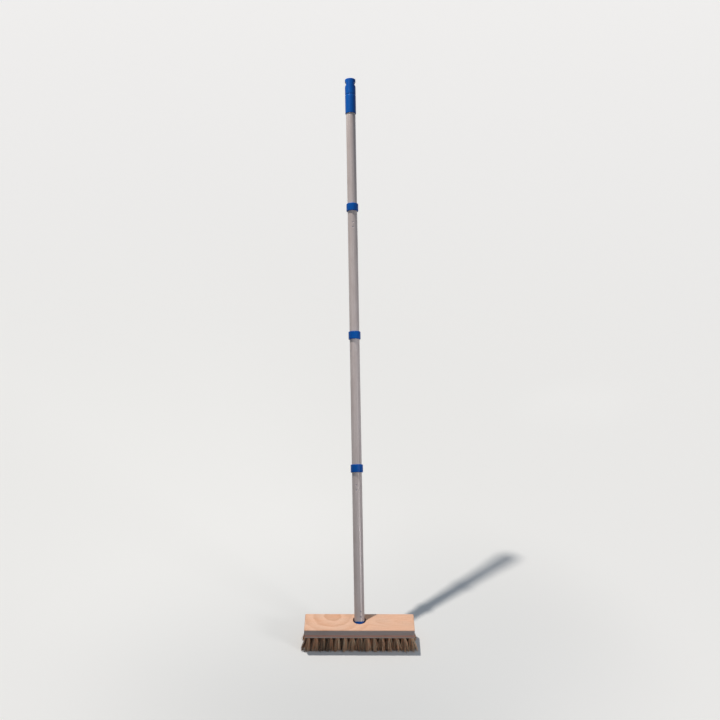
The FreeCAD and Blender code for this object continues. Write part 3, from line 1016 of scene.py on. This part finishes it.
def lost_light(tree, shown):
    """What the key lamp loses with distance on the floor, but for the floor near the brush."""
    place = add_node(tree, "ShaderNodeTexCoord").outputs["Object"]
    lamp = key_place()
    inputs = {0: place, 1: lamp}
    reach = add_node(tree, "ShaderNodeVectorMath", inputs, operation="DISTANCE").outputs["Value"]
    lit = maths(tree, "POWER", maths(tree, "DIVIDE", lamp.z, reach), FALL_OFF_POWER)
    under_lamp = FLOOR_TONE[0] * KEY_POWER / (2 * math.pi * lamp.z) ** 2
    lost = maths(tree, "MULTIPLY_ADD", lit, -under_lamp, under_lamp)
    away = add_node(tree, "ShaderNodeVectorMath", {0: place}, operation="LENGTH").outputs["Value"]
    inputs = {"Value": away, "From Min": GLOW_START, "From Max": GLOW_FULL, "To Max": lost}
    glow = add_node(tree, "ShaderNodeMapRange", inputs, interpolation_type="SMOOTHSTEP").outputs["Result"]
    return maths(tree, "MULTIPLY", glow, shown)


def pale_floor():
    bm = bmesh.new()
    bmesh.ops.create_grid(bm, x_segments=1, y_segments=1, size=FLOOR_HALF)
    mesh = bpy.data.meshes.new("floor")
    bm.to_mesh(mesh)
    bm.free()
    floor = bpy.data.objects.new("floor", mesh)
    bpy.context.scene.collection.objects.link(floor)
    material, tree, shader = new_finish("pale_floor")
    shown = shown_rays(tree)
    tree.links.new(blended(tree, "MIX", shown, FLOOR_BOUNCE, FLOOR_TONE), shader.inputs["Base Color"])
    tree.links.new(lost_light(tree, shown), shader.inputs["Emission Strength"])
    shader.inputs["Emission Color"].default_value = KEY_COLOUR
    shader.inputs["Roughness"].default_value = FLOOR_ROUGHNESS
    mesh.materials.append(material)


pale_floor()
print("floor laid, key lamp goes to", [round(part, 3) for part in key_place()])

# %% [markdown]
# ## The lamps
#
# Three soft spots do what the key lamp cannot. One on the right lights the front of the fibre and
# leaves a highlight on the lower tube, one lights the middle of the pole from the right, and a narrow
# one high on the left leaves a highlight on the cap. One large soft lamp would be simpler, but it would
# light the whole pole alike. Together the lamps light an upward face so that its colour renders about
# as it is written.

# %% Hang the lamps
KEY_SIZE = 0.04
SIDE_PLACE = Vector((1.1, -0.75, 0.65))
SIDE_AIM = Vector((0, 0.1, 0.15))
SIDE_POWER = 24
SIDE_CONE = math.radians(36)
SIDE_SIZE = 0.22
FRONT_PLACE = Vector((0.85, -1.15, 1.0))
FRONT_REACH = 0.68
FRONT_POWER = 53
FRONT_CONE = math.radians(30)
FRONT_SIZE = 0.25
HIGH_PLACE = Vector((-0.74, -0.08, 2.28))
HIGH_REACH = 1.33
HIGH_POWER = 12
HIGH_CONE = math.radians(8)
HIGH_SIZE = 0.08


def add_lamp(name, kind, place, power, colour):
    lamp = bpy.data.lights.new(name, kind)
    lamp.energy = power
    lamp.color = colour[:3]
    holder = bpy.data.objects.new(name, lamp)
    holder.location = place
    holder.visible_camera = False
    bpy.context.scene.collection.objects.link(holder)
    return holder


def spot_lamp(name, place, aim, power, cone, size):
    holder = add_lamp(name, "SPOT", place, power, grey(1.0))
    holder.data.spot_size = cone
    holder.data.spot_blend = 1.0
    holder.data.shadow_soft_size = size
    holder.rotation_mode = "QUATERNION"
    holder.rotation_quaternion = (aim - place).to_track_quat("-Z", "Y")


add_lamp("key", "POINT", key_place(), KEY_POWER, KEY_COLOUR).data.shadow_soft_size = KEY_SIZE
front_aim = foot_joint + pole_up * FRONT_REACH
high_aim = foot_joint + pole_up * HIGH_REACH
spot_lamp("side", SIDE_PLACE, SIDE_AIM, SIDE_POWER, SIDE_CONE, SIDE_SIZE)
spot_lamp("front", FRONT_PLACE, front_aim, FRONT_POWER, FRONT_CONE, FRONT_SIZE)
spot_lamp("high", HIGH_PLACE, high_aim, HIGH_POWER, HIGH_CONE, HIGH_SIZE)
print("a key lamp and three spots hang in place")

# %% [markdown]
# ## Cool fill
#
# The shade on the brush is a little cool, as it is under open sky. Another lamp would throw a shadow
# of its own, so the world's background fills the shade evenly. To the camera and in reflections it
# is as pale as the far floor, so hardly any horizon shows.

# %% Fill the shade
FILL_STRENGTH = 0.25
FILL_COLOUR = seen(208, 230, 255)
BACKDROP = 0.86


def fill_world():
    world = bpy.data.worlds.new("studio")
    world.use_nodes = True
    bpy.context.scene.world = world
    tree = world.node_tree
    shown = shown_rays(tree)
    inputs = {"Value": shown, "To Min": FILL_STRENGTH, "To Max": BACKDROP}
    level = add_node(tree, "ShaderNodeMapRange", inputs)
    background = tree.nodes["Background"]
    tree.links.new(level.outputs["Result"], background.inputs["Strength"])
    tree.links.new(blended(tree, "MIX", shown, FILL_COLOUR, grey(1.0)), background.inputs["Color"])


fill_world()
bpy.context.scene.view_settings.view_transform = "Standard"
print("fill strength", FILL_STRENGTH)

# %% [markdown]
# ## The camera
#
# The picture was taken from in front, a little above the top of the pole, looking down by about
# twenty degrees. The place, the tilt and the lens were worked out from the block's corners and the
# pole's collars, so the brush stands in the frame as it does in the photograph.

# %% Place the camera
CAMERA_PLACE = (0.0, -2.2182, 1.4940)
CAMERA_DROP = 19.47
CAMERA_TILT = math.radians(90 - CAMERA_DROP)
CAMERA_ROLL = math.radians(0.118)
CAMERA_LENS = 56.03
CAMERA_SENSOR = 36

lens = bpy.data.cameras.new("camera")
lens.lens = CAMERA_LENS
lens.sensor_width = CAMERA_SENSOR
camera = bpy.data.objects.new("camera", lens)
camera.location = CAMERA_PLACE
camera.rotation_mode = "QUATERNION"
camera.rotation_quaternion = Quaternion((1, 0, 0), CAMERA_TILT) @ Quaternion((0, 0, 1), CAMERA_ROLL)
bpy.context.scene.collection.objects.link(camera)
bpy.context.scene.camera = camera
print("camera at", CAMERA_PLACE)
